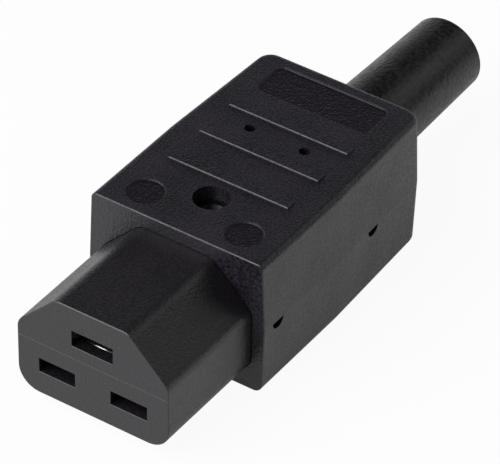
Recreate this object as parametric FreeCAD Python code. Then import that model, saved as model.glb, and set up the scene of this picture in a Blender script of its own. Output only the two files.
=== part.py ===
import FreeCAD, Part
import math
import os
from FreeCAD import Vector

# Rewireable appliance connector: a box-shaped grip housing, a two-part contact insert whose
# bevelled nose stands out of its front, and a rubber bend relief at the rear.
# +Z is up, the mating face looks along -Y, and the origin is below the middle of the whole
# part, on the surface that it lies on.

# Mating face
pin_pitch = 13.0
earth_rise = 8.0
slot_width = 6.55
slot_height = 2.55
earth_slot_width = 7.4
earth_slot_height = 2.9
slot_lead_in = 0.06
slot_above_nose_base = 5.44

# Nose, which is the front of the contact insert
nose_width = 27.3
nose_height = 19.2
nose_length = 21.2
nose_bevel_width = 7.05
nose_bevel_height = 7.0
nose_bevel_round = 2.8
nose_bottom_round = 3.8
nose_edge_chamfer = 0.14
parting_above_nose_base = 9.68
parting_chamfer = 0.035
nose_front_wall = 1.9

# Grip housing
housing_length = 44.9
base_wall = 2.62
top_wall = 2.38
side_wall = 2.25
rear_wall = 2.4
waist_from_front = 20.5
waist_taper = 0.05
rear_taper = 1.05
side_draft = 0.5
rear_corner_round = 2.6
top_edge_round = 1.1
base_edge_round = 1.65
front_edge_chamfer = 0.15
insert_fit = 0.1

# Grip ribs, bare label field, round fields and core pin holes of the housing
rib_count = 3
rib_first = 13.3
rib_pitch = 8.0
rib_length = 21.7
rib_run = 2.2
rib_rise = 0.28
rib_edge = 0.14
rib_corner_round = 0.7
label_width = 20.1
label_run = 6.8
label_to_rear = 2.65
label_round = 1.2
field_depth = 0.18
disc_diameter = 5.75
disc_spacing = 17.8
disc_from_front = 4.8
core_hole_diameter = 1.8
core_hole_spacing = 10.0
core_hole_from_front = 26.5
side_hole_radius = 1.4
side_hole_count = 2
side_hole_first = 3.6
side_hole_spacing = 26.3

# Housing screw, its well and the square nut that it draws on
housing_screw_from_front = 9.13
well_diameter = 5.8
boss_radius = 4.0
boss_drop = 3.6
boss_floor = 1.2
boss_slide_fit = 0.2
nut_width = 5.5
nut_height = 1.8
nut_roof = 1.4

# Insert behind the nose
insert_depth = 24.0
shoulder_step = 0.6
tongue_to_collar = 1.4
tongue_fit = 0.25
cover_to_shoulder = 2.5
chamber_from_front = 20.0
chamber_to_grip = 0.7
chamber_half_width = 9.3
pocket_fit = 0.15
key_width = 1.8
key_height = 1.2
key_from_front = 6.0
insert_screw_to_cover_end = 5.5
insert_screw_from_side = 2.6
insert_screw_seat = 2.0

# Contacts: two sprung leaves on a folded strip whose tail lies in a clamp; the earth's makes first
contact_width = 5.4
strip_thickness = 0.8
leaf_root_gap = 3.3
leaf_pinch_gap = 1.9
leaf_mouth_gap = 3.0
leaf_length = 17.0
leaf_mouth_run = 2.8
leaf_root_run = 4.0
earth_lead = 1.2
tail_width = 3.4
tail_past_clamp = 0.7

# Terminal clamps
clamp_width = 5.4
clamp_height = 6.6
clamp_run = 6.0
clamp_wall = 1.0
clamp_top = 2.0
clamp_window_width = 3.6
clamp_edge_chamfer = 0.4
current_clamp_from_front = 3.5
earth_clamp_from_front = 14.0

# Screws
thread_play = 0.05
hole_play = 0.2
machine_shank_radius = 1.5
terminal_head_radius = 2.5
terminal_head_height = 1.8
terminal_screw_length = 5.0
housing_head_radius = 2.75
housing_head_height = 1.7
housing_head_edge = 0.35
housing_screw_length = 4.6
insert_shank_radius = 1.1
insert_head_radius = 1.9
insert_head_height = 1.3
insert_screw_length = 8.0
grip_shank_radius = 1.45
grip_head_radius = 2.3
grip_head_height = 1.8
grip_screw_length = 8.0
screw_slot_width = 0.8
screw_slot_depth = 0.8
pilot_run_out = 0.4

# Cord grip
cord_radius = 4.3
grip_to_tongue_end = 6.5
grip_run = 6.6
grip_half_width = 10.6
grip_flange = 2.3
grip_arch_wall = 1.3
grip_screw_half_spacing = 7.9

# Rubber bend relief
relief_length = 30.4
relief_axis_height = 11.55
relief_base_radius = 7.09
relief_end_radius = 6.43
relief_bore_radius = 4.6
relief_collar_radius = 8.1
relief_collar = 2.0
relief_rim = 0.35
relief_fit = 0.075

# Places worked out from the sizes above
overall_length = nose_length + housing_length + relief_length
front = nose_length - overall_length / 2
nose_front = front - nose_length
rear = front + housing_length
rear_inside = rear - rear_wall
shoulder = front + insert_depth
nose_base = base_wall + insert_fit
nose_top = nose_base + nose_height
ceiling = nose_top + insert_fit
housing_top = ceiling + top_wall
field_floor = housing_top - field_depth
housing_middle = housing_top / 2
housing_half_width = nose_width / 2 + insert_fit + side_wall
waist = front + waist_from_front
parting = nose_base + parting_above_nose_base
slot_z = nose_base + slot_above_nose_base
earth_z = slot_z + earth_rise
earth_mouth = nose_front + nose_front_wall
current_mouth = earth_mouth + earth_lead
leaf_reach = leaf_root_gap / 2 + strip_thickness
tray_floor = slot_z - leaf_reach - clamp_wall
terminal_seat = tray_floor + clamp_wall + strip_thickness + terminal_screw_length
head_room = terminal_seat + terminal_head_height + hole_play
boss_foot = ceiling - boss_drop
screw_seat = boss_foot + boss_floor
screw_y = front + housing_screw_from_front
nut_seat = boss_foot - nut_roof
earth_pocket_front = front + earth_clamp_from_front - 2 * strip_thickness - pocket_fit
insert_screw_x = nose_width / 2 - insert_screw_from_side
cover_rear = shoulder - cover_to_shoulder
insert_screw_y = cover_rear - insert_screw_to_cover_end
collar_front = rear_inside - relief_collar
tongue_end = collar_front - tongue_to_collar
grip_y = tongue_end - grip_to_tongue_end
grip_front = grip_y - grip_run / 2
chamber_front = front + chamber_from_front
chamber_rear = grip_front - chamber_to_grip
cut_past = 1.0
touch = 1e-4


def block(x_low, x_high, y_low, y_high, z_low, z_high):
    """A rectangular block between two corners."""
    return Part.makeBox(x_high - x_low, y_high - y_low, z_high - z_low, Vector(x_low, y_low, z_low))


def upright(radius, x, y, z_low, z_high):
    """A cylinder that stands along Z."""
    return Part.makeCylinder(radius, z_high - z_low, Vector(x, y, z_low), Vector(0, 0, 1))


def lengthwise(radius, x, z, y_low, y_high):
    """A cylinder that lies along Y."""
    return Part.makeCylinder(radius, y_high - y_low, Vector(x, y_low, z), Vector(0, 1, 0))


def rounded_wire(corners, place):
    """A closed wire through flat corners (u, v, radius), put into space by place(u, v)."""
    bends = []
    count = len(corners)
    for index, (u, v, radius) in enumerate(corners):
        here = Vector(u, v, 0)
        back = (Vector(*corners[index - 1][:2], 0) - here).normalize()
        ahead = (Vector(*corners[(index + 1) % count][:2], 0) - here).normalize()
        half_angle = back.getAngle(ahead) / 2
        setback = radius / math.tan(half_angle)
        crown = (back + ahead).normalize() * (radius / math.sin(half_angle) - radius)
        points = [here + back * setback, here + crown, here + ahead * setback]
        bends.append([place(point.x, point.y) for point in points])
    edges = []
    for index, (start, crown, end) in enumerate(bends):
        if corners[index][2] > 0:
            edges.append(Part.Arc(start, crown, end).toShape())
        edges.append(Part.LineSegment(end, bends[(index + 1) % count][0]).toShape())
    return Part.Wire(edges)


def lies_at(edge, axis, value):
    """Whether both ends of an edge have that value on an axis."""
    return all(abs(getattr(vertex.Point, axis) - value) < touch for vertex in edge.Vertexes)


def edges_on(shape, axis, value):
    """The edges in the plane that has that value on an axis."""
    return [edge for edge in shape.Edges if lies_at(edge, axis, value)]


def nose_section(y, grow):
    """The bevelled outline of the insert at y, grown outwards or inwards."""
    half = nose_width / 2
    flat = half - nose_bevel_width
    bevel_foot = nose_top - nose_bevel_height
    corners = [
        (-half, nose_base, nose_bottom_round),
        (half, nose_base, nose_bottom_round),
        (half, bevel_foot, nose_bevel_round),
        (flat, nose_top, nose_bevel_round),
        (-flat, nose_top, nose_bevel_round),
        (-half, bevel_foot, nose_bevel_round),
    ]
    face = Part.Face(rounded_wire(corners, lambda u, v: Vector(u, y, v)))
    return face.makeOffset2D(grow) if grow else face


def nose_prism(y_low, y_high, grow=0.0):
    """A length of the insert's outline."""
    return nose_section(y_low, grow).extrude(Vector(0, y_high - y_low, 0))


def insert_blank(y_high):
    """The insert before it is split in two: its outline with a softened front edge."""
    blank = nose_prism(nose_front, y_high)
    return blank.makeChamfer(nose_edge_chamfer, edges_on(blank, "y", nose_front))


def flat_face(points):
    """A flat face with straight edges through the points."""
    return Part.Face(Part.makePolygon(points + points[:1]))


def housing_plan(z, inset):
    """Corners of the housing seen from above: parallel to the waist, then tapered to the rear."""
    front_half = housing_half_width - inset
    waist_half = front_half - waist_taper
    rear_half = waist_half - rear_taper
    right = [Vector(front_half, front, z), Vector(waist_half, waist, z), Vector(rear_half, rear, z)]
    left = [Vector(-corner.x, corner.y, z) for corner in reversed(right)]
    return right + left


def housing_half(rim_round):
    """The drafted upper half of the box, on the mould's parting, with rounded corners and rim."""
    foot = housing_plan(housing_middle, 0)
    rim = housing_plan(housing_top, side_draft)
    faces = [flat_face(foot[::-1]), flat_face(rim)]
    for index in range(len(foot)):
        faces.append(flat_face([foot[index - 1], foot[index], rim[index], rim[index - 1]]))
    half = Part.Solid(Part.Shell(faces))
    rear_corners = [edge for edge in edges_on(half, "y", rear) if edge.BoundBox.ZLength > touch]
    half = half.makeFillet(rear_corner_round, rear_corners)
    rim_edges = [edge for edge in edges_on(half, "z", housing_top) if not lies_at(edge, "y", front)]
    return half.makeFillet(rim_round, rim_edges)


def housing_shell():
    """The whole box: two drafted halves that meet at mid height, with a softened front edge."""
    lower = housing_half(base_edge_round).mirror(Vector(0, 0, housing_middle), Vector(0, 0, 1))
    shell = housing_half(top_edge_round).fuse(lower).removeSplitter()
    return shell.makeChamfer(front_edge_chamfer, edges_on(shell, "y", front))


def grip_rib(y):
    """A low flat rib across the top, with rounded rear corners and a broken edge all round."""
    half = rib_length / 2
    end = y + rib_run
    corners = [(-half, y, 0), (half, y, 0), (half, end, rib_corner_round), (-half, end, rib_corner_round)]
    foot = Part.Face(rounded_wire(corners, lambda u, v: Vector(u, v, housing_top - rib_rise)))
    rib = foot.extrude(Vector(0, 0, 2 * rib_rise))
    return rib.makeChamfer(rib_edge, edges_on(rib, "z", housing_top + rib_rise))


def shallow_field(floor):
    """A bare field sunk into the top face, with sloped sides up from the outline of its floor."""
    wires = [floor.OuterWire]
    mouth = floor.makeOffset2D(2 * field_depth)
    mouth.translate(Vector(0, 0, 2 * field_depth))
    wires.append(mouth.OuterWire)
    return Part.makeLoft(wires, True, True)


def label_field():
    """The long field at the rear of the top face."""
    half = label_width / 2
    end = rear - label_to_rear
    outline = [(-half, end - label_run), (half, end - label_run), (half, end), (-half, end)]
    corners = [(u, v, label_round) for u, v in outline]
    return shallow_field(Part.Face(rounded_wire(corners, lambda u, v: Vector(u, v, field_floor))))


def disc_field(x):
    """One of the two round fields at the front of the top face."""
    ring = Part.makeCircle(disc_diameter / 2, Vector(x, front + disc_from_front, field_floor))
    return shallow_field(Part.Face(Part.Wire(ring)))


def side_hole(y):
    """A half-round core pin hole through both side walls, flat side up at the mould's parting."""
    reach = housing_half_width + cut_past
    start = Vector(-reach, y - side_hole_radius, housing_middle)
    low = Vector(-reach, y, housing_middle - side_hole_radius)
    end = Vector(-reach, y + side_hole_radius, housing_middle)
    wire = Part.Wire([Part.Arc(start, low, end).toShape(), Part.LineSegment(end, start).toShape()])
    return Part.Face(wire).extrude(Vector(2 * reach, 0, 0))


def make_housing():
    """One moulding: a shell open at the front, with a screw boss under its top wall."""
    shell = housing_shell()
    cavity = nose_prism(front - cut_past, shoulder, insert_fit)
    rear_cavity = nose_prism(shoulder, rear_inside, insert_fit - shoulder_step)
    shell = shell.cut(cavity.fuse(rear_cavity))
    shell = shell.fuse(upright(boss_radius, 0, screw_y, boss_foot, ceiling + top_wall / 2))
    shell = shell.fuse([grip_rib(front + rib_first + index * rib_pitch) for index in range(rib_count)])
    top = housing_top + cut_past
    shank_hole = machine_shank_radius + hole_play
    relief_hole = relief_base_radius + relief_fit
    cuts = [
        upright(well_diameter / 2, 0, screw_y, screw_seat, top),
        upright(shank_hole, 0, screw_y, boss_foot - cut_past, top),
        lengthwise(relief_hole, 0, relief_axis_height, rear_inside - cut_past, rear + cut_past),
        label_field(),
    ]
    for side in (-1, 1):
        cuts.append(disc_field(side * disc_spacing / 2))
        hole_x = side * core_hole_spacing / 2
        hole_y = front + core_hole_from_front
        cuts.append(upright(core_hole_diameter / 2, hole_x, hole_y, ceiling - top_wall, top))
    for index in range(side_hole_count):
        cuts.append(side_hole(front + side_hole_first + index * side_hole_spacing))
    return shell.cut(cuts)


def slot_cut(x, z, width, height, leaf_mouth):
    """A slot through the nose's front wall with a chamfered mouth, and the pin's way behind it."""
    way_end = leaf_mouth + leaf_length
    way = block(x - width / 2, x + width / 2, nose_front - cut_past, way_end, z - height / 2, z + height / 2)
    wires = []
    for depth, grow in ((0, slot_lead_in), (slot_lead_in, 0)):
        half_w = width / 2 + grow
        half_h = height / 2 + grow
        y = nose_front + depth
        ring = [Vector(x + u * half_w, y, z + v * half_h) for u, v in ((-1, -1), (1, -1), (1, 1), (-1, 1))]
        wires.append(Part.makePolygon(ring + ring[:1]))
    return way.fuse(Part.makeLoft(wires, True, True))


def leaf_pocket(x, z, leaf_mouth):
    """The space for a contact's leaves behind the nose's front wall, open to the rear."""
    half = contact_width / 2 + pocket_fit
    reach = leaf_reach + pocket_fit
    return block(x - half, x + half, leaf_mouth, front + strip_thickness, z - reach, z + reach)


def parting_edge(half, side):
    """Breaks the edge of an insert half where it meets the other across the mating face."""
    reach = nose_width
    points = [
        Vector(-reach, nose_front, parting),
        Vector(-reach, nose_front + parting_chamfer, parting),
        Vector(-reach, nose_front, parting + side * parting_chamfer),
    ]
    wedge = Part.Face(Part.makePolygon(points + points[:1])).extrude(Vector(2 * reach, 0, 0))
    return half.cut(wedge)


def tongue():
    """The rear of the lower half: a cradle for the cord, narrower than the shoulder."""
    body = nose_prism(shoulder, tongue_end, insert_fit - shoulder_step - tongue_fit)
    body = body.cut(block(-nose_width, nose_width, shoulder, tongue_end, relief_axis_height, nose_top))
    return body.cut(lengthwise(cord_radius, 0, relief_axis_height, shoulder, tongue_end))


def locating_key(side, z_low, grow):
    """The square key that sets one insert half on the other, or its socket when grown."""
    x = side * insert_screw_x
    y = front + key_from_front
    half = key_width / 2 + grow
    return block(x - half, x + half, y - half, y + half, z_low, parting + key_height + grow)


def make_insert_lower():
    """Lower half: nose with the two current slots, wiring tray, cradle for the cord."""
    half = insert_blank(shoulder)
    half = half.cut(block(-nose_width, nose_width, nose_front, shoulder, parting, nose_top + cut_past))
    half = parting_edge(half, -1).fuse(tongue())
    pocket_half = clamp_width / 2 + pocket_fit
    pocket_top = parting + cut_past
    cuts = []
    for side in (-1, 1):
        x = side * pin_pitch / 2
        cuts.append(slot_cut(x, slot_z, slot_width, slot_height, current_mouth))
        cuts.append(leaf_pocket(x, slot_z, current_mouth))
        cuts.append(block(x - pocket_half, x + pocket_half, front, chamber_front, tray_floor, pocket_top))
        pilot = insert_shank_radius + thread_play
        pilot_foot = parting + insert_screw_seat - insert_screw_length - pilot_run_out
        cuts.append(upright(pilot, side * insert_screw_x, insert_screw_y, pilot_foot, pocket_top))
        pilot = grip_shank_radius + thread_play
        pilot_foot = relief_axis_height + grip_flange - grip_screw_length - pilot_run_out
        cuts.append(upright(pilot, side * grip_screw_half_spacing, grip_y, pilot_foot, pocket_top))
    cuts.append(block(-pocket_half, pocket_half, earth_pocket_front, chamber_front, tray_floor, pocket_top))
    chamber = (-chamber_half_width, chamber_half_width, chamber_front, chamber_rear)
    cuts.append(block(*chamber, tray_floor, pocket_top))
    half = half.cut(cuts)
    rest_half = tail_width / 2
    root = parting - cut_past
    tail_foot = earth_z - leaf_reach
    rest = block(-rest_half, rest_half, front + strip_thickness, earth_pocket_front, root, tail_foot)
    keys = [locating_key(side, root, 0) for side in (-1, 1)]
    return half.fuse(keys + [rest]).removeSplitter()


def make_insert_upper():
    """Upper half: nose with the earth slot, cover over the terminals, channel for the boss."""
    half = insert_blank(cover_rear)
    half = half.cut(block(-nose_width, nose_width, nose_front, cover_rear, nose_base - cut_past, parting))
    half = parting_edge(half, 1)
    pocket_half = clamp_width / 2 + pocket_fit
    nut_half = nut_width / 2 + pocket_fit
    channel_half = boss_radius + boss_slide_fit
    low = parting - cut_past
    high = nose_top + cut_past
    end = cover_rear + cut_past
    cuts = [
        slot_cut(0, earth_z, earth_slot_width, earth_slot_height, earth_mouth),
        leaf_pocket(0, earth_z, earth_mouth),
        block(-pocket_half, pocket_half, front, end, low, earth_z - leaf_root_gap / 2 + pocket_fit),
        block(-nut_half, nut_half, screw_y - nut_half, screw_y + nut_half, low, nut_seat),
        upright(machine_shank_radius + hole_play, 0, screw_y, low, high),
        upright(channel_half, 0, screw_y, boss_foot, high),
        block(-channel_half, channel_half, screw_y, end, boss_foot, high),
    ]
    for side in (-1, 1):
        x = side * pin_pitch / 2
        cuts.append(block(x - pocket_half, x + pocket_half, front + strip_thickness, end, low, head_room))
        screw_x = side * insert_screw_x
        seat = parting + insert_screw_seat
        cuts.append(upright(insert_shank_radius + hole_play, screw_x, insert_screw_y, low, high))
        cuts.append(upright(insert_head_radius + hole_play, screw_x, insert_screw_y, seat, high))
        cuts.append(locating_key(side, low, pocket_fit))
    return half.cut(cuts)


def folded_strip(path, width, x):
    """Sheet of the strip's thickness folded along the (y, z) points of path, centred on x."""
    points = [Vector(x - width / 2, y, z) for y, z in path]
    runs = [(end - start).normalize() for start, end in zip(points, points[1:])]
    normals = [Vector(1, 0, 0).cross(run) for run in runs]
    normals = [normals[0]] + normals + [normals[-1]]
    mitres = []
    for one, other in zip(normals, normals[1:]):
        mitres.append((one + other) * (strip_thickness / 2 / (1 + one.dot(other))))
    outline = [point + mitre for point, mitre in zip(points, mitres)]
    outline += [point - mitre for point, mitre in reversed(list(zip(points, mitres)))]
    return Part.Face(Part.makePolygon(outline + outline[:1])).extrude(Vector(width, 0, 0))


def make_contact(x, z, leaf_mouth, clamp_from_front, drop):
    """A sprung fork of two leaves, with a tail that may step down on its way to the clamp."""
    mid = strip_thickness / 2
    mouth = leaf_mouth + pocket_fit
    root = mouth + leaf_length
    gaps = (leaf_mouth_gap, leaf_pinch_gap, leaf_root_gap)
    mouth_z, pinch_z, root_z = [gap / 2 + mid for gap in gaps]
    leaf = [
        (mouth, mouth_z),
        (mouth + leaf_mouth_run, pinch_z),
        (root - leaf_root_run, root_z),
        (root, root_z),
    ]
    upper = folded_strip([(y, z + rise) for y, rise in leaf], contact_width, x)
    lower = folded_strip([(y, z - rise) for y, rise in leaf], contact_width, x)
    web = folded_strip([(root - mid, z - root_z), (root - mid, z + root_z)], contact_width, x)
    clamp_y = front + clamp_from_front
    tail_end = clamp_y + clamp_run + tail_past_clamp
    tail = [(root - mid, z - root_z)]
    if drop:
        step = clamp_y - strip_thickness
        tail += [(step, z - root_z), (step, z - root_z - drop)]
    tail.append((tail_end, z - root_z - drop))
    return upper.fuse([lower, web, folded_strip(tail, tail_width, x)]).removeSplitter()


def make_clamp(x, clamp_from_front):
    """A square brass tube round the contact's tail, tapped through its thick top."""
    y = front + clamp_from_front
    half = clamp_width / 2
    top = tray_floor + clamp_height
    tube = block(x - half, x + half, y, y + clamp_run, tray_floor, top)
    end_edges = edges_on(tube, "y", y) + edges_on(tube, "y", y + clamp_run)
    long_edges = [edge for edge in tube.Edges if not any(edge.isSame(end) for end in end_edges)]
    tube = tube.makeChamfer(clamp_edge_chamfer, long_edges)
    window_half = clamp_window_width / 2
    window_floor = tray_floor + clamp_wall
    window = block(x - window_half, x + window_half, y, y + clamp_run, window_floor, top - clamp_top)
    tapped = upright(machine_shank_radius + thread_play, x, y + clamp_run / 2, top - 2 * clamp_top, top)
    return tube.cut([window, tapped])


def make_screw(x, y, seat, shank_radius, length, head_radius, head_height, head_edge=0):
    """A slotted screw, head up, whose head rests at the height of seat and may have a broken edge."""
    tip = seat - length
    top = seat + head_height
    profile = [(0, tip), (shank_radius, tip), (shank_radius, seat), (head_radius, seat)]
    if head_edge:
        profile.append((head_radius, top - head_edge))
    profile += [(head_radius - head_edge, top), (0, top)]
    points = [Vector(x + radius, y, z) for radius, z in profile]
    section = Part.Face(Part.makePolygon(points + points[:1]))
    turned = section.revolve(Vector(x, y, 0), Vector(0, 0, 1), 360)
    half = screw_slot_width / 2
    slot = block(x - head_radius, x + head_radius, y - half, y + half, top - screw_slot_depth, top)
    return turned.cut(slot)


def make_terminal_screw(x, clamp_from_front):
    """Screwed down until its tip meets the contact's tail."""
    y = front + clamp_from_front + clamp_run / 2
    sizes = (machine_shank_radius, terminal_screw_length, terminal_head_radius, terminal_head_height)
    return make_screw(x, y, terminal_seat, *sizes)


def make_nut():
    """Square nut that hangs under the upper half's roof, round the housing screw."""
    half = nut_width / 2
    nut = block(-half, half, screw_y - half, screw_y + half, nut_seat - nut_height, nut_seat)
    return nut.cut(upright(machine_shank_radius + thread_play, 0, screw_y, nut_seat - nut_height, nut_seat))


def make_cord_grip():
    """Bridge over the cord: two flanges on the cradle and an arch between them."""
    axis = relief_axis_height
    y_end = grip_front + grip_run
    bar = block(-grip_half_width, grip_half_width, grip_front, y_end, axis, axis + grip_flange)
    bar = bar.fuse(lengthwise(cord_radius + grip_arch_wall, 0, axis, grip_front, y_end))
    below = block(-grip_half_width, grip_half_width, grip_front, y_end, nose_base, axis)
    cuts = [below, lengthwise(cord_radius, 0, axis, grip_front, y_end)]
    hole = grip_shank_radius + hole_play
    for side in (-1, 1):
        x = side * grip_screw_half_spacing
        cuts.append(upright(hole, x, grip_y, axis, axis + grip_flange))
    return bar.cut(cuts).removeSplitter()


def make_bend_relief():
    """Tapered rubber tube, pushed out through the rear wall from inside and held by its collar."""
    end = rear + relief_length
    profile = [
        (collar_front, relief_bore_radius),
        (collar_front, relief_collar_radius),
        (rear_inside, relief_collar_radius),
        (rear_inside, relief_base_radius),
        (rear, relief_base_radius),
        (end - relief_rim, relief_end_radius),
        (end, relief_end_radius - relief_rim),
        (end, relief_bore_radius),
    ]
    section = flat_face([Vector(0, y, relief_axis_height + radius) for y, radius in profile])
    return section.revolve(Vector(0, 0, relief_axis_height), Vector(0, 1, 0), 360)


def build():
    """Every piece of the connector by its name."""
    pieces = {
        "housing": make_housing(),
        "insert_lower": make_insert_lower(),
        "insert_upper": make_insert_upper(),
        "bend_relief": make_bend_relief(),
        "cord_grip": make_cord_grip(),
        "housing_nut": make_nut(),
    }
    sizes = (machine_shank_radius, housing_screw_length, housing_head_radius, housing_head_height)
    pieces["housing_screw"] = make_screw(0, screw_y, screw_seat, *sizes, housing_head_edge)
    half_pitch = pin_pitch / 2
    poles = [
        ("left", -half_pitch, slot_z, current_mouth, current_clamp_from_front, 0),
        ("right", half_pitch, slot_z, current_mouth, current_clamp_from_front, 0),
        ("earth", 0, earth_z, earth_mouth, earth_clamp_from_front, earth_rise),
    ]
    for name, x, z, leaf_mouth, clamp_from_front, drop in poles:
        pieces["contact_" + name] = make_contact(x, z, leaf_mouth, clamp_from_front, drop)
        pieces["terminal_clamp_" + name] = make_clamp(x, clamp_from_front)
        pieces["terminal_screw_" + name] = make_terminal_screw(x, clamp_from_front)
    for name, side in (("left", -1), ("right", 1)):
        x = side * insert_screw_x
        sizes = (insert_shank_radius, insert_screw_length, insert_head_radius, insert_head_height)
        seat = parting + insert_screw_seat
        pieces["insert_screw_" + name] = make_screw(x, insert_screw_y, seat, *sizes)
        x = side * grip_screw_half_spacing
        sizes = (grip_shank_radius, grip_screw_length, grip_head_radius, grip_head_height)
        seat = relief_axis_height + grip_flange
        pieces["grip_screw_" + name] = make_screw(x, grip_y, seat, *sizes)
    return pieces


os.makedirs("parts", exist_ok=True)
for node, shape in build().items():
    shape.exportStep("parts/" + node + ".step")
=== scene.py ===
import math

import bmesh
import bpy
from mathutils import Matrix, Vector


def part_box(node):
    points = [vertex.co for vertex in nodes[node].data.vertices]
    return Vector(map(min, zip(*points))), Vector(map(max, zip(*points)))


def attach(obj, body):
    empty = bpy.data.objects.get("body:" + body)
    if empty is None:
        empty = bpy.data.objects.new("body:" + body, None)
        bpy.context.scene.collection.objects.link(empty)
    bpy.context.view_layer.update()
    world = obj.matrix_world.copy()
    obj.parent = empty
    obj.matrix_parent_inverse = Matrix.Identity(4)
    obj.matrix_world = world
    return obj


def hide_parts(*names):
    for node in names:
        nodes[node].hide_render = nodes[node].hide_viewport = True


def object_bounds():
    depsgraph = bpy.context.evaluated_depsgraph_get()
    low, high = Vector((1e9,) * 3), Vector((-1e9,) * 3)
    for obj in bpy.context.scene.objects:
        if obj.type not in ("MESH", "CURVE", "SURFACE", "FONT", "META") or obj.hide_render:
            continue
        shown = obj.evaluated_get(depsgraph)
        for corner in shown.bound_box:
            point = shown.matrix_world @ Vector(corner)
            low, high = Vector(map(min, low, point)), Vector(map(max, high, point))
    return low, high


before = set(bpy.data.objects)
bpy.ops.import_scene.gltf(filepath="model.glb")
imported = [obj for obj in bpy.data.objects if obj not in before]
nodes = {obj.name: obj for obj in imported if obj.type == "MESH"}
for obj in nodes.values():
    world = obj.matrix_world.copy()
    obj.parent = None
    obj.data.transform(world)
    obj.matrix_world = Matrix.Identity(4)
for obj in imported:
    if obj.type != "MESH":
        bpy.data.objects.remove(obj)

cad_low, cad_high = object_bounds()


# Contact insert: the two halves that carry the contacts and form the nose.
# They are moulded in a heat-proof glass-filled plastic, whose skin is a satin black with a very
# fine grain, and are drawn together by the two insert screws, so that only a hair line shows.

mm = 0.001


def moulded_skin_group():
    """Colour, roughness and height of a moulded surface, from fine grain and broad flow marks."""
    flow_share = 0.35
    darkest_at, palest_at = 0.42, 0.58
    smoothest_at, roughest_at = 0.38, 0.62
    group = bpy.data.node_groups.new("moulded_skin", "ShaderNodeTree")
    ports = group.interface
    for name, kind, value in (
        ("Dark", "NodeSocketColor", (0.01, 0.01, 0.01, 1)),
        ("Pale", "NodeSocketColor", (0.02, 0.02, 0.02, 1)),
        ("Grain Scale", "NodeSocketFloat", 3000.0),
        ("Flow Scale", "NodeSocketFloat", 120.0),
        ("Smoothest", "NodeSocketFloat", 0.4),
        ("Roughest", "NodeSocketFloat", 0.6),
    ):
        ports.new_socket(name, in_out="INPUT", socket_type=kind).default_value = value
    ports.new_socket("Colour", in_out="OUTPUT", socket_type="NodeSocketColor")
    ports.new_socket("Roughness", in_out="OUTPUT", socket_type="NodeSocketFloat")
    ports.new_socket("Height", in_out="OUTPUT", socket_type="NodeSocketFloat")
    tree = group.nodes
    link = group.links.new
    given = tree.new("NodeGroupInput")
    made = tree.new("NodeGroupOutput")
    place = tree.new("ShaderNodeTexCoord")

    grain = tree.new("ShaderNodeTexNoise")
    grain.inputs["Detail"].default_value = 1.0
    grain.inputs["Roughness"].default_value = 0.6
    link(place.outputs["Object"], grain.inputs["Vector"])
    link(given.outputs["Grain Scale"], grain.inputs["Scale"])

    flow = tree.new("ShaderNodeTexNoise")
    flow.inputs["Detail"].default_value = 4.0
    link(place.outputs["Object"], flow.inputs["Vector"])
    link(given.outputs["Flow Scale"], flow.inputs["Scale"])

    blend = tree.new("ShaderNodeMix")
    blend.data_type = "FLOAT"
    blend.inputs["Factor"].default_value = flow_share
    link(grain.outputs["Fac"], blend.inputs["A"])
    link(flow.outputs["Fac"], blend.inputs["B"])
    spread = tree.new("ShaderNodeMapRange")
    spread.inputs["From Min"].default_value = darkest_at
    spread.inputs["From Max"].default_value = palest_at
    link(blend.outputs["Result"], spread.inputs["Value"])
    colour = tree.new("ShaderNodeMix")
    colour.data_type = "RGBA"
    link(spread.outputs["Result"], colour.inputs["Factor"])
    link(given.outputs["Dark"], colour.inputs["A"])
    link(given.outputs["Pale"], colour.inputs["B"])

    rough = tree.new("ShaderNodeMapRange")
    rough.inputs["From Min"].default_value = smoothest_at
    rough.inputs["From Max"].default_value = roughest_at
    link(blend.outputs["Result"], rough.inputs["Value"])
    link(given.outputs["Smoothest"], rough.inputs["To Min"])
    link(given.outputs["Roughest"], rough.inputs["To Max"])

    link(colour.outputs["Result"], made.inputs["Colour"])
    link(rough.outputs["Result"], made.inputs["Roughness"])
    link(grain.outputs["Fac"], made.inputs["Height"])
    return group


moulded_skin = moulded_skin_group()


def moulded_material(name, dark, pale, index, grain, flow, smoothest, roughest, relief):
    """A moulded plastic or rubber: the shared skin with its own colours, gloss and grain."""
    material = bpy.data.materials.new(name)
    material.use_nodes = True
    tree = material.node_tree.nodes
    link = material.node_tree.links.new
    shader = tree["Principled BSDF"]
    shader.inputs["IOR"].default_value = index
    skin = tree.new("ShaderNodeGroup")
    skin.name = "skin"
    skin.node_tree = moulded_skin
    skin.inputs["Dark"].default_value = (*dark, 1)
    skin.inputs["Pale"].default_value = (*pale, 1)
    skin.inputs["Grain Scale"].default_value = 1 / grain
    skin.inputs["Flow Scale"].default_value = 1 / flow
    skin.inputs["Smoothest"].default_value = smoothest
    skin.inputs["Roughest"].default_value = roughest
    bump = tree.new("ShaderNodeBump")
    bump.inputs["Distance"].default_value = relief
    link(skin.outputs["Height"], bump.inputs["Height"])
    link(skin.outputs["Colour"], shader.inputs["Base Color"])
    link(skin.outputs["Roughness"], shader.inputs["Roughness"])
    link(bump.outputs["Normal"], shader.inputs["Normal"])
    return material


def dress(material, *names):
    """Gives CAD nodes a finish."""
    for name in names:
        nodes[name].data.materials.clear()
        nodes[name].data.materials.append(material)


insert_black = moulded_material(
    "insert_black", dark=(0.0052, 0.0038, 0.0060), pale=(0.0090, 0.0068, 0.0102), index=1.63,
    grain=0.42 * mm, flow=9 * mm, smoothest=0.37, roughest=0.48, relief=0.075 * mm)
dress(insert_black, "insert_upper", "insert_lower")


# Contacts: three sprung forks, each folded from one strip of tin-plated brass.
# They lie loose in their pockets, held by the other insert half; the plating is dull from use.

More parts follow.
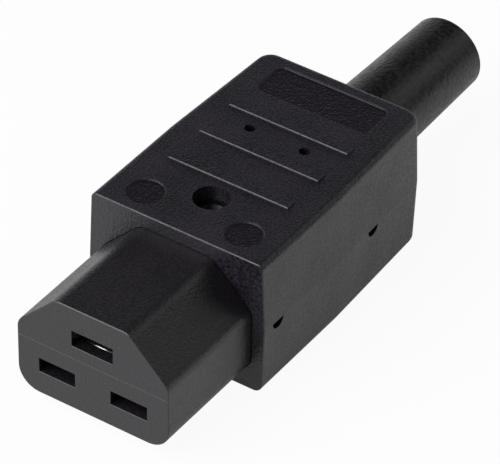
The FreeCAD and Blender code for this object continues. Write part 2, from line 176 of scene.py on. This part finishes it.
def worked_metal_group():
    """Colour and roughness of a metal with fine lines along Y and dull patches."""
    drawn_out = (1.0, 0.08, 1.0)
    line_scale = 5000
    patch_scale = 400
    group = bpy.data.node_groups.new("worked_metal", "ShaderNodeTree")
    ports = group.interface
    for name, kind, value in (
        ("Clean", "NodeSocketColor", (0.7, 0.7, 0.7, 1)),
        ("Dull", "NodeSocketColor", (0.4, 0.4, 0.4, 1)),
        ("Smoothest", "NodeSocketFloat", 0.2),
        ("Roughest", "NodeSocketFloat", 0.5),
    ):
        ports.new_socket(name, in_out="INPUT", socket_type=kind).default_value = value
    ports.new_socket("Colour", in_out="OUTPUT", socket_type="NodeSocketColor")
    ports.new_socket("Roughness", in_out="OUTPUT", socket_type="NodeSocketFloat")
    tree = group.nodes
    link = group.links.new
    given = tree.new("NodeGroupInput")
    made = tree.new("NodeGroupOutput")
    place = tree.new("ShaderNodeTexCoord")

    along = tree.new("ShaderNodeMapping")
    along.inputs["Scale"].default_value = drawn_out
    link(place.outputs["Object"], along.inputs["Vector"])
    lines = tree.new("ShaderNodeTexNoise")
    lines.inputs["Scale"].default_value = line_scale
    lines.inputs["Detail"].default_value = 2.0
    link(along.outputs["Vector"], lines.inputs["Vector"])
    rough = tree.new("ShaderNodeMapRange")
    rough.inputs["From Min"].default_value = 0.3
    rough.inputs["From Max"].default_value = 0.7
    link(lines.outputs["Fac"], rough.inputs["Value"])
    link(given.outputs["Smoothest"], rough.inputs["To Min"])
    link(given.outputs["Roughest"], rough.inputs["To Max"])

    patches = tree.new("ShaderNodeTexNoise")
    patches.inputs["Scale"].default_value = patch_scale
    patches.inputs["Detail"].default_value = 4.0
    link(place.outputs["Object"], patches.inputs["Vector"])
    spread = tree.new("ShaderNodeMapRange")
    spread.inputs["From Min"].default_value = 0.4
    spread.inputs["From Max"].default_value = 0.65
    link(patches.outputs["Fac"], spread.inputs["Value"])
    colour = tree.new("ShaderNodeMix")
    colour.data_type = "RGBA"
    link(spread.outputs["Result"], colour.inputs["Factor"])
    link(given.outputs["Clean"], colour.inputs["A"])
    link(given.outputs["Dull"], colour.inputs["B"])

    link(colour.outputs["Result"], made.inputs["Colour"])
    link(rough.outputs["Result"], made.inputs["Roughness"])
    return group


worked_metal = worked_metal_group()


def metal_material(name, clean, dull, smoothest, roughest):
    """A metal with the shared worked surface in its own colours and gloss."""
    material = bpy.data.materials.new(name)
    material.use_nodes = True
    tree = material.node_tree.nodes
    link = material.node_tree.links.new
    shader = tree["Principled BSDF"]
    shader.inputs["Metallic"].default_value = 1.0
    surface = tree.new("ShaderNodeGroup")
    surface.node_tree = worked_metal
    surface.inputs["Clean"].default_value = (*clean, 1)
    surface.inputs["Dull"].default_value = (*dull, 1)
    surface.inputs["Smoothest"].default_value = smoothest
    surface.inputs["Roughest"].default_value = roughest
    link(surface.outputs["Colour"], shader.inputs["Base Color"])
    link(surface.outputs["Roughness"], shader.inputs["Roughness"])
    return material


tinned = metal_material(
    "tinned_brass", clean=(0.50, 0.49, 0.47), dull=(0.22, 0.21, 0.19), smoothest=0.18, roughest=0.36)

# The ends of the leaves are rolled over, so that the mouth of each fork takes its pin and
# catches the light.
mouth_run = 0.3 * mm
mouth_round = 0.25 * mm
for pole in ("left", "right", "earth"):
    node = "contact_" + pole
    strip = bmesh.new()
    strip.from_mesh(nodes[node].data)
    bmesh.ops.remove_doubles(strip, verts=strip.verts, dist=0.001 * mm)
    bmesh.ops.dissolve_limit(strip, angle_limit=math.radians(1), verts=strip.verts, edges=strip.edges)
    mouth = min(vertex.co.y for vertex in strip.verts) + mouth_run
    lips = [edge for edge in strip.edges if all(vertex.co.y < mouth for vertex in edge.verts)]
    rolled = bmesh.ops.bevel(
        strip, geom=lips, offset=mouth_round, affect="EDGES", segments=4, profile=0.5, material=-1)
    for face in rolled["faces"]:
        face.smooth = True
    fork_data = bpy.data.meshes.new("fork_" + pole)
    strip.to_mesh(fork_data)
    strip.free()
    fork = bpy.data.objects.new("fork_" + pole, fork_data)
    bpy.context.scene.collection.objects.link(fork)
    fork_data.materials.append(tinned)
    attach(fork, "root")
    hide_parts(node)


# Terminal clamps: short square tubes round the contacts' tails, where the bare wires go in.
# They are sawn from drawn brass and tapped through the thick wall for the terminal screws.

brass = metal_material(
    "plain_brass", clean=(0.78, 0.58, 0.27), dull=(0.50, 0.34, 0.14), smoothest=0.22, roughest=0.42)
dress(brass, "terminal_clamp_left", "terminal_clamp_right", "terminal_clamp_earth")


# Screws and nut: slotted screws for the terminals, the insert and the cord grip, and the square nut
# that the housing screw draws on. They are steel, plated with bright zinc.

zinc = metal_material(
    "zinc_steel", clean=(0.66, 0.67, 0.69), dull=(0.50, 0.51, 0.54), smoothest=0.20, roughest=0.38)
dress(zinc, "terminal_screw_left", "terminal_screw_right", "terminal_screw_earth")
dress(zinc, "insert_screw_left", "insert_screw_right", "grip_screw_left", "grip_screw_right", "housing_nut")


# Cord grip: a bridge over the cord, moulded in the same plastic as the insert.
# Two screws draw it down, so that a pull on the cord doesn't reach the terminals.

dress(insert_black, "cord_grip")


# Bend relief: a black rubber sleeve, pushed out through the housing's rear wall from inside.
# The rubber is matt and mottled where it has been handled.

relief_rubber = moulded_material(
    "relief_rubber", dark=(0.0034, 0.0032, 0.0039), pale=(0.0106, 0.0102, 0.0113), index=1.50,
    grain=0.62 * mm, flow=3.5 * mm, smoothest=0.29, roughest=0.47, relief=0.075 * mm)
dress(relief_rubber, "bend_relief")


# Housing: one black moulding, pushed over the insert from the cord end.
# Its mould is spark-eroded, which leaves a fine even grain that is a little coarser than the nose's.

housing_black = moulded_material(
    "housing_black", dark=(0.0038, 0.0026, 0.0062), pale=(0.0112, 0.0082, 0.0168), index=1.63,
    grain=0.40 * mm, flow=8 * mm, smoothest=0.36, roughest=0.53, relief=0.100 * mm)
dress(housing_black, "housing")

# The floors of the label field and the two round fields are polished in the mould, and so look
# darker. Their sloped sides stay as rough as the spark left them.
rib_to_floor = 0.46 * mm
floor_reach = 0.03 * mm
wall_reach = 0.165 * mm
field_margin = 2 * mm
floor_black = (0.0050, 0.0020, 0.0080, 1)
floor_roughness = 0.30
wall_roughness = 0.9

tree = housing_black.node_tree.nodes
link = housing_black.node_tree.links.new
skin = tree["skin"]
shader = tree["Principled BSDF"]
place = tree.new("ShaderNodeTexCoord")
housing_low, housing_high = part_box("housing")
field_floor = housing_high.z - rib_to_floor


def field_mask(z_low, z_high):
    """Where the top face lies between two heights, clear of the housing's edges."""
    low = Vector((housing_low.x + field_margin, housing_low.y + field_margin, z_low))
    high = Vector((housing_high.x - field_margin, housing_high.y - field_margin, z_high))
    centred = tree.new("ShaderNodeMapping")
    centred.vector_type = "TEXTURE"
    centred.inputs["Location"].default_value = (low + high) / 2
    centred.inputs["Scale"].default_value = (high - low) / 2
    link(place.outputs["Object"], centred.inputs["Vector"])
    away = tree.new("ShaderNodeVectorMath")
    away.operation = "ABSOLUTE"
    link(centred.outputs["Vector"], away.inputs[0])
    split = tree.new("ShaderNodeSeparateXYZ")
    link(away.outputs["Vector"], split.inputs[0])
    sideways = tree.new("ShaderNodeMath")
    sideways.operation = "MAXIMUM"
    link(split.outputs["X"], sideways.inputs[0])
    link(split.outputs["Y"], sideways.inputs[1])
    furthest = tree.new("ShaderNodeMath")
    furthest.operation = "MAXIMUM"
    link(sideways.outputs[0], furthest.inputs[0])
    link(split.outputs["Z"], furthest.inputs[1])
    within = tree.new("ShaderNodeMath")
    within.operation = "LESS_THAN"
    within.inputs[1].default_value = 1.0
    link(furthest.outputs[0], within.inputs[0])
    return within.outputs[0]


on_floor = field_mask(field_floor - floor_reach, field_floor + floor_reach)
on_wall = field_mask(field_floor + floor_reach, field_floor + wall_reach)
field_colour = tree.new("ShaderNodeMix")
field_colour.data_type = "RGBA"
field_colour.inputs["B"].default_value = floor_black
link(on_floor, field_colour.inputs["Factor"])
link(skin.outputs["Colour"], field_colour.inputs["A"])
link(field_colour.outputs["Result"], shader.inputs["Base Color"])
floor_gloss = tree.new("ShaderNodeMix")
floor_gloss.data_type = "FLOAT"
floor_gloss.inputs["B"].default_value = floor_roughness
link(on_floor, floor_gloss.inputs["Factor"])
link(skin.outputs["Roughness"], floor_gloss.inputs["A"])
wall_gloss = tree.new("ShaderNodeMix")
wall_gloss.data_type = "FLOAT"
wall_gloss.inputs["B"].default_value = wall_roughness
link(on_wall, wall_gloss.inputs["Factor"])
link(floor_gloss.outputs["Result"], wall_gloss.inputs["A"])
link(wall_gloss.outputs["Result"], shader.inputs["Roughness"])


# Housing screw: a slotted machine screw of blackened steel, sunk in the well of the housing's top.
# It goes through the housing's boss into the nut in the insert, and so holds the housing there.

blacked = metal_material(
    "blacked_steel", clean=(0.30, 0.30, 0.31), dull=(0.16, 0.16, 0.17), smoothest=0.22, roughest=0.42)
dress(blacked, "housing_screw")


# Floor: a wide sheet of matt white card, laid flat under the part.
# It looks white to the camera, and reflections show more of the part's shadow on it.

floor_half = 1.5
card_white = (0.95, 0.95, 0.95, 1)
white_to_camera = 0.94
white_in_mirrors = 0.44

floor_mesh = bmesh.new()
bmesh.ops.create_grid(floor_mesh, x_segments=1, y_segments=1, size=floor_half)
floor_data = bpy.data.meshes.new("floor")
floor_mesh.to_mesh(floor_data)
floor_mesh.free()
floor = bpy.data.objects.new("floor", floor_data)
bpy.context.scene.collection.objects.link(floor)

card = bpy.data.materials.new("white_card")
card.use_nodes = True
tree = card.node_tree.nodes
link = card.node_tree.links.new
tree.remove(tree["Principled BSDF"])
matt = tree.new("ShaderNodeBsdfDiffuse")
matt.inputs["Color"].default_value = card_white
white = tree.new("ShaderNodeEmission")
path = tree.new("ShaderNodeLightPath")
seen = tree.new("ShaderNodeMath")
seen.operation = "MULTIPLY"
seen.inputs[1].default_value = white_to_camera
link(path.outputs["Is Camera Ray"], seen.inputs[0])
mirror = tree.new("ShaderNodeMath")
mirror.operation = "MAXIMUM"
link(path.outputs["Is Glossy Ray"], mirror.inputs[0])
link(path.outputs["Is Transmission Ray"], mirror.inputs[1])
mirrored = tree.new("ShaderNodeMath")
mirrored.operation = "MULTIPLY"
mirrored.inputs[1].default_value = white_in_mirrors
link(mirror.outputs[0], mirrored.inputs[0])
share = tree.new("ShaderNodeMath")
share.operation = "MAXIMUM"
link(seen.outputs[0], share.inputs[0])
link(mirrored.outputs[0], share.inputs[1])
mix = tree.new("ShaderNodeMixShader")
link(share.outputs[0], mix.inputs[0])
link(matt.outputs[0], mix.inputs[1])
link(white.outputs[0], mix.inputs[2])
link(mix.outputs[0], tree["Material Output"].inputs["Surface"])
floor_data.materials.append(card)


# Light: a dim room that glows near the horizon at the back left, as from a window there, with one
# large soft box at the front left, a weak one at the back right and a very weak one overhead.

window_side = (-0.80, 0.60, 0.0)
glow_height = 0.55
glow_edge = -0.3
glow_weakest = 0.07
glow_strongest = 0.80
even_light = 0.045

world = bpy.data.worlds.new("studio")
bpy.context.scene.world = world
world.use_nodes = True
tree = world.node_tree.nodes
link = world.node_tree.links.new
room = tree["Background"]
room.inputs["Color"].default_value = (1, 1, 1, 1)
direction = tree.new("ShaderNodeTexCoord")
height = tree.new("ShaderNodeSeparateXYZ")
link(direction.outputs["Generated"], height.inputs[0])
low_sky = tree.new("ShaderNodeMapRange")
low_sky.interpolation_type = "SMOOTHSTEP"
low_sky.inputs["From Min"].default_value = 0.0
low_sky.inputs["From Max"].default_value = glow_height
low_sky.inputs["To Min"].default_value = 1.0
low_sky.inputs["To Max"].default_value = 0.0
link(height.outputs["Z"], low_sky.inputs["Value"])
towards = tree.new("ShaderNodeVectorMath")
towards.operation = "DOT_PRODUCT"
towards.inputs[1].default_value = window_side
link(direction.outputs["Generated"], towards.inputs[0])
side = tree.new("ShaderNodeMapRange")
side.inputs["From Min"].default_value = glow_edge
side.inputs["From Max"].default_value = 1.0
side.inputs["To Min"].default_value = glow_weakest
side.inputs["To Max"].default_value = glow_strongest
link(towards.outputs["Value"], side.inputs["Value"])
glow = tree.new("ShaderNodeMath")
glow.operation = "MULTIPLY_ADD"
glow.inputs[2].default_value = even_light
link(low_sky.outputs["Result"], glow.inputs[0])
link(side.outputs["Result"], glow.inputs[1])
link(glow.outputs[0], room.inputs["Strength"])


def soft_box(name, place, size, power):
    """A square soft box that looks at the middle of the part."""
    data = bpy.data.lights.new(name, "AREA")
    data.shape = "SQUARE"
    data.size = size
    data.energy = power
    lamp = bpy.data.objects.new(name, data)
    bpy.context.scene.collection.objects.link(lamp)
    lamp.location = place
    lamp.rotation_mode = "QUATERNION"
    lamp.rotation_quaternion = ((cad_low + cad_high) / 2 - Vector(place)).to_track_quat("-Z", "Y")


soft_box("key_box", place=(-0.52, -0.86, 0.80), size=1.36, power=22.6)
soft_box("top_box", place=(0.0, 0.0, 1.20), size=0.70, power=0.4)
soft_box("fill_box", place=(0.58, 0.86, 0.78), size=0.75, power=1.3)


# Camera: stands where the photograph was taken from. Its place, turn and lens were found from the
# part's own edges, and its small shift only centres them in the frame.

azimuth = math.radians(34.082)
elevation = math.radians(38.747)
roll = math.radians(0.722)
eye = Vector((290.34, -436.82, 426.99)) * mm
camera_data = bpy.data.cameras.new("camera")
camera_data.sensor_width = 36.0
camera_data.lens = 314.5
camera_data.shift_x = 0.0008
camera_data.shift_y = -0.0004
camera_data.clip_start = 0.05
camera_data.clip_end = 20.0
camera = bpy.data.objects.new("camera", camera_data)
bpy.context.scene.collection.objects.link(camera)
turn = Matrix.Rotation(azimuth, 4, "Z") @ Matrix.Rotation(math.pi / 2 - elevation, 4, "X")
camera.matrix_world = Matrix.Translation(eye) @ turn @ Matrix.Rotation(roll, 4, "Z")
bpy.context.scene.camera = camera
bpy.context.scene.view_settings.view_transform = "Standard"
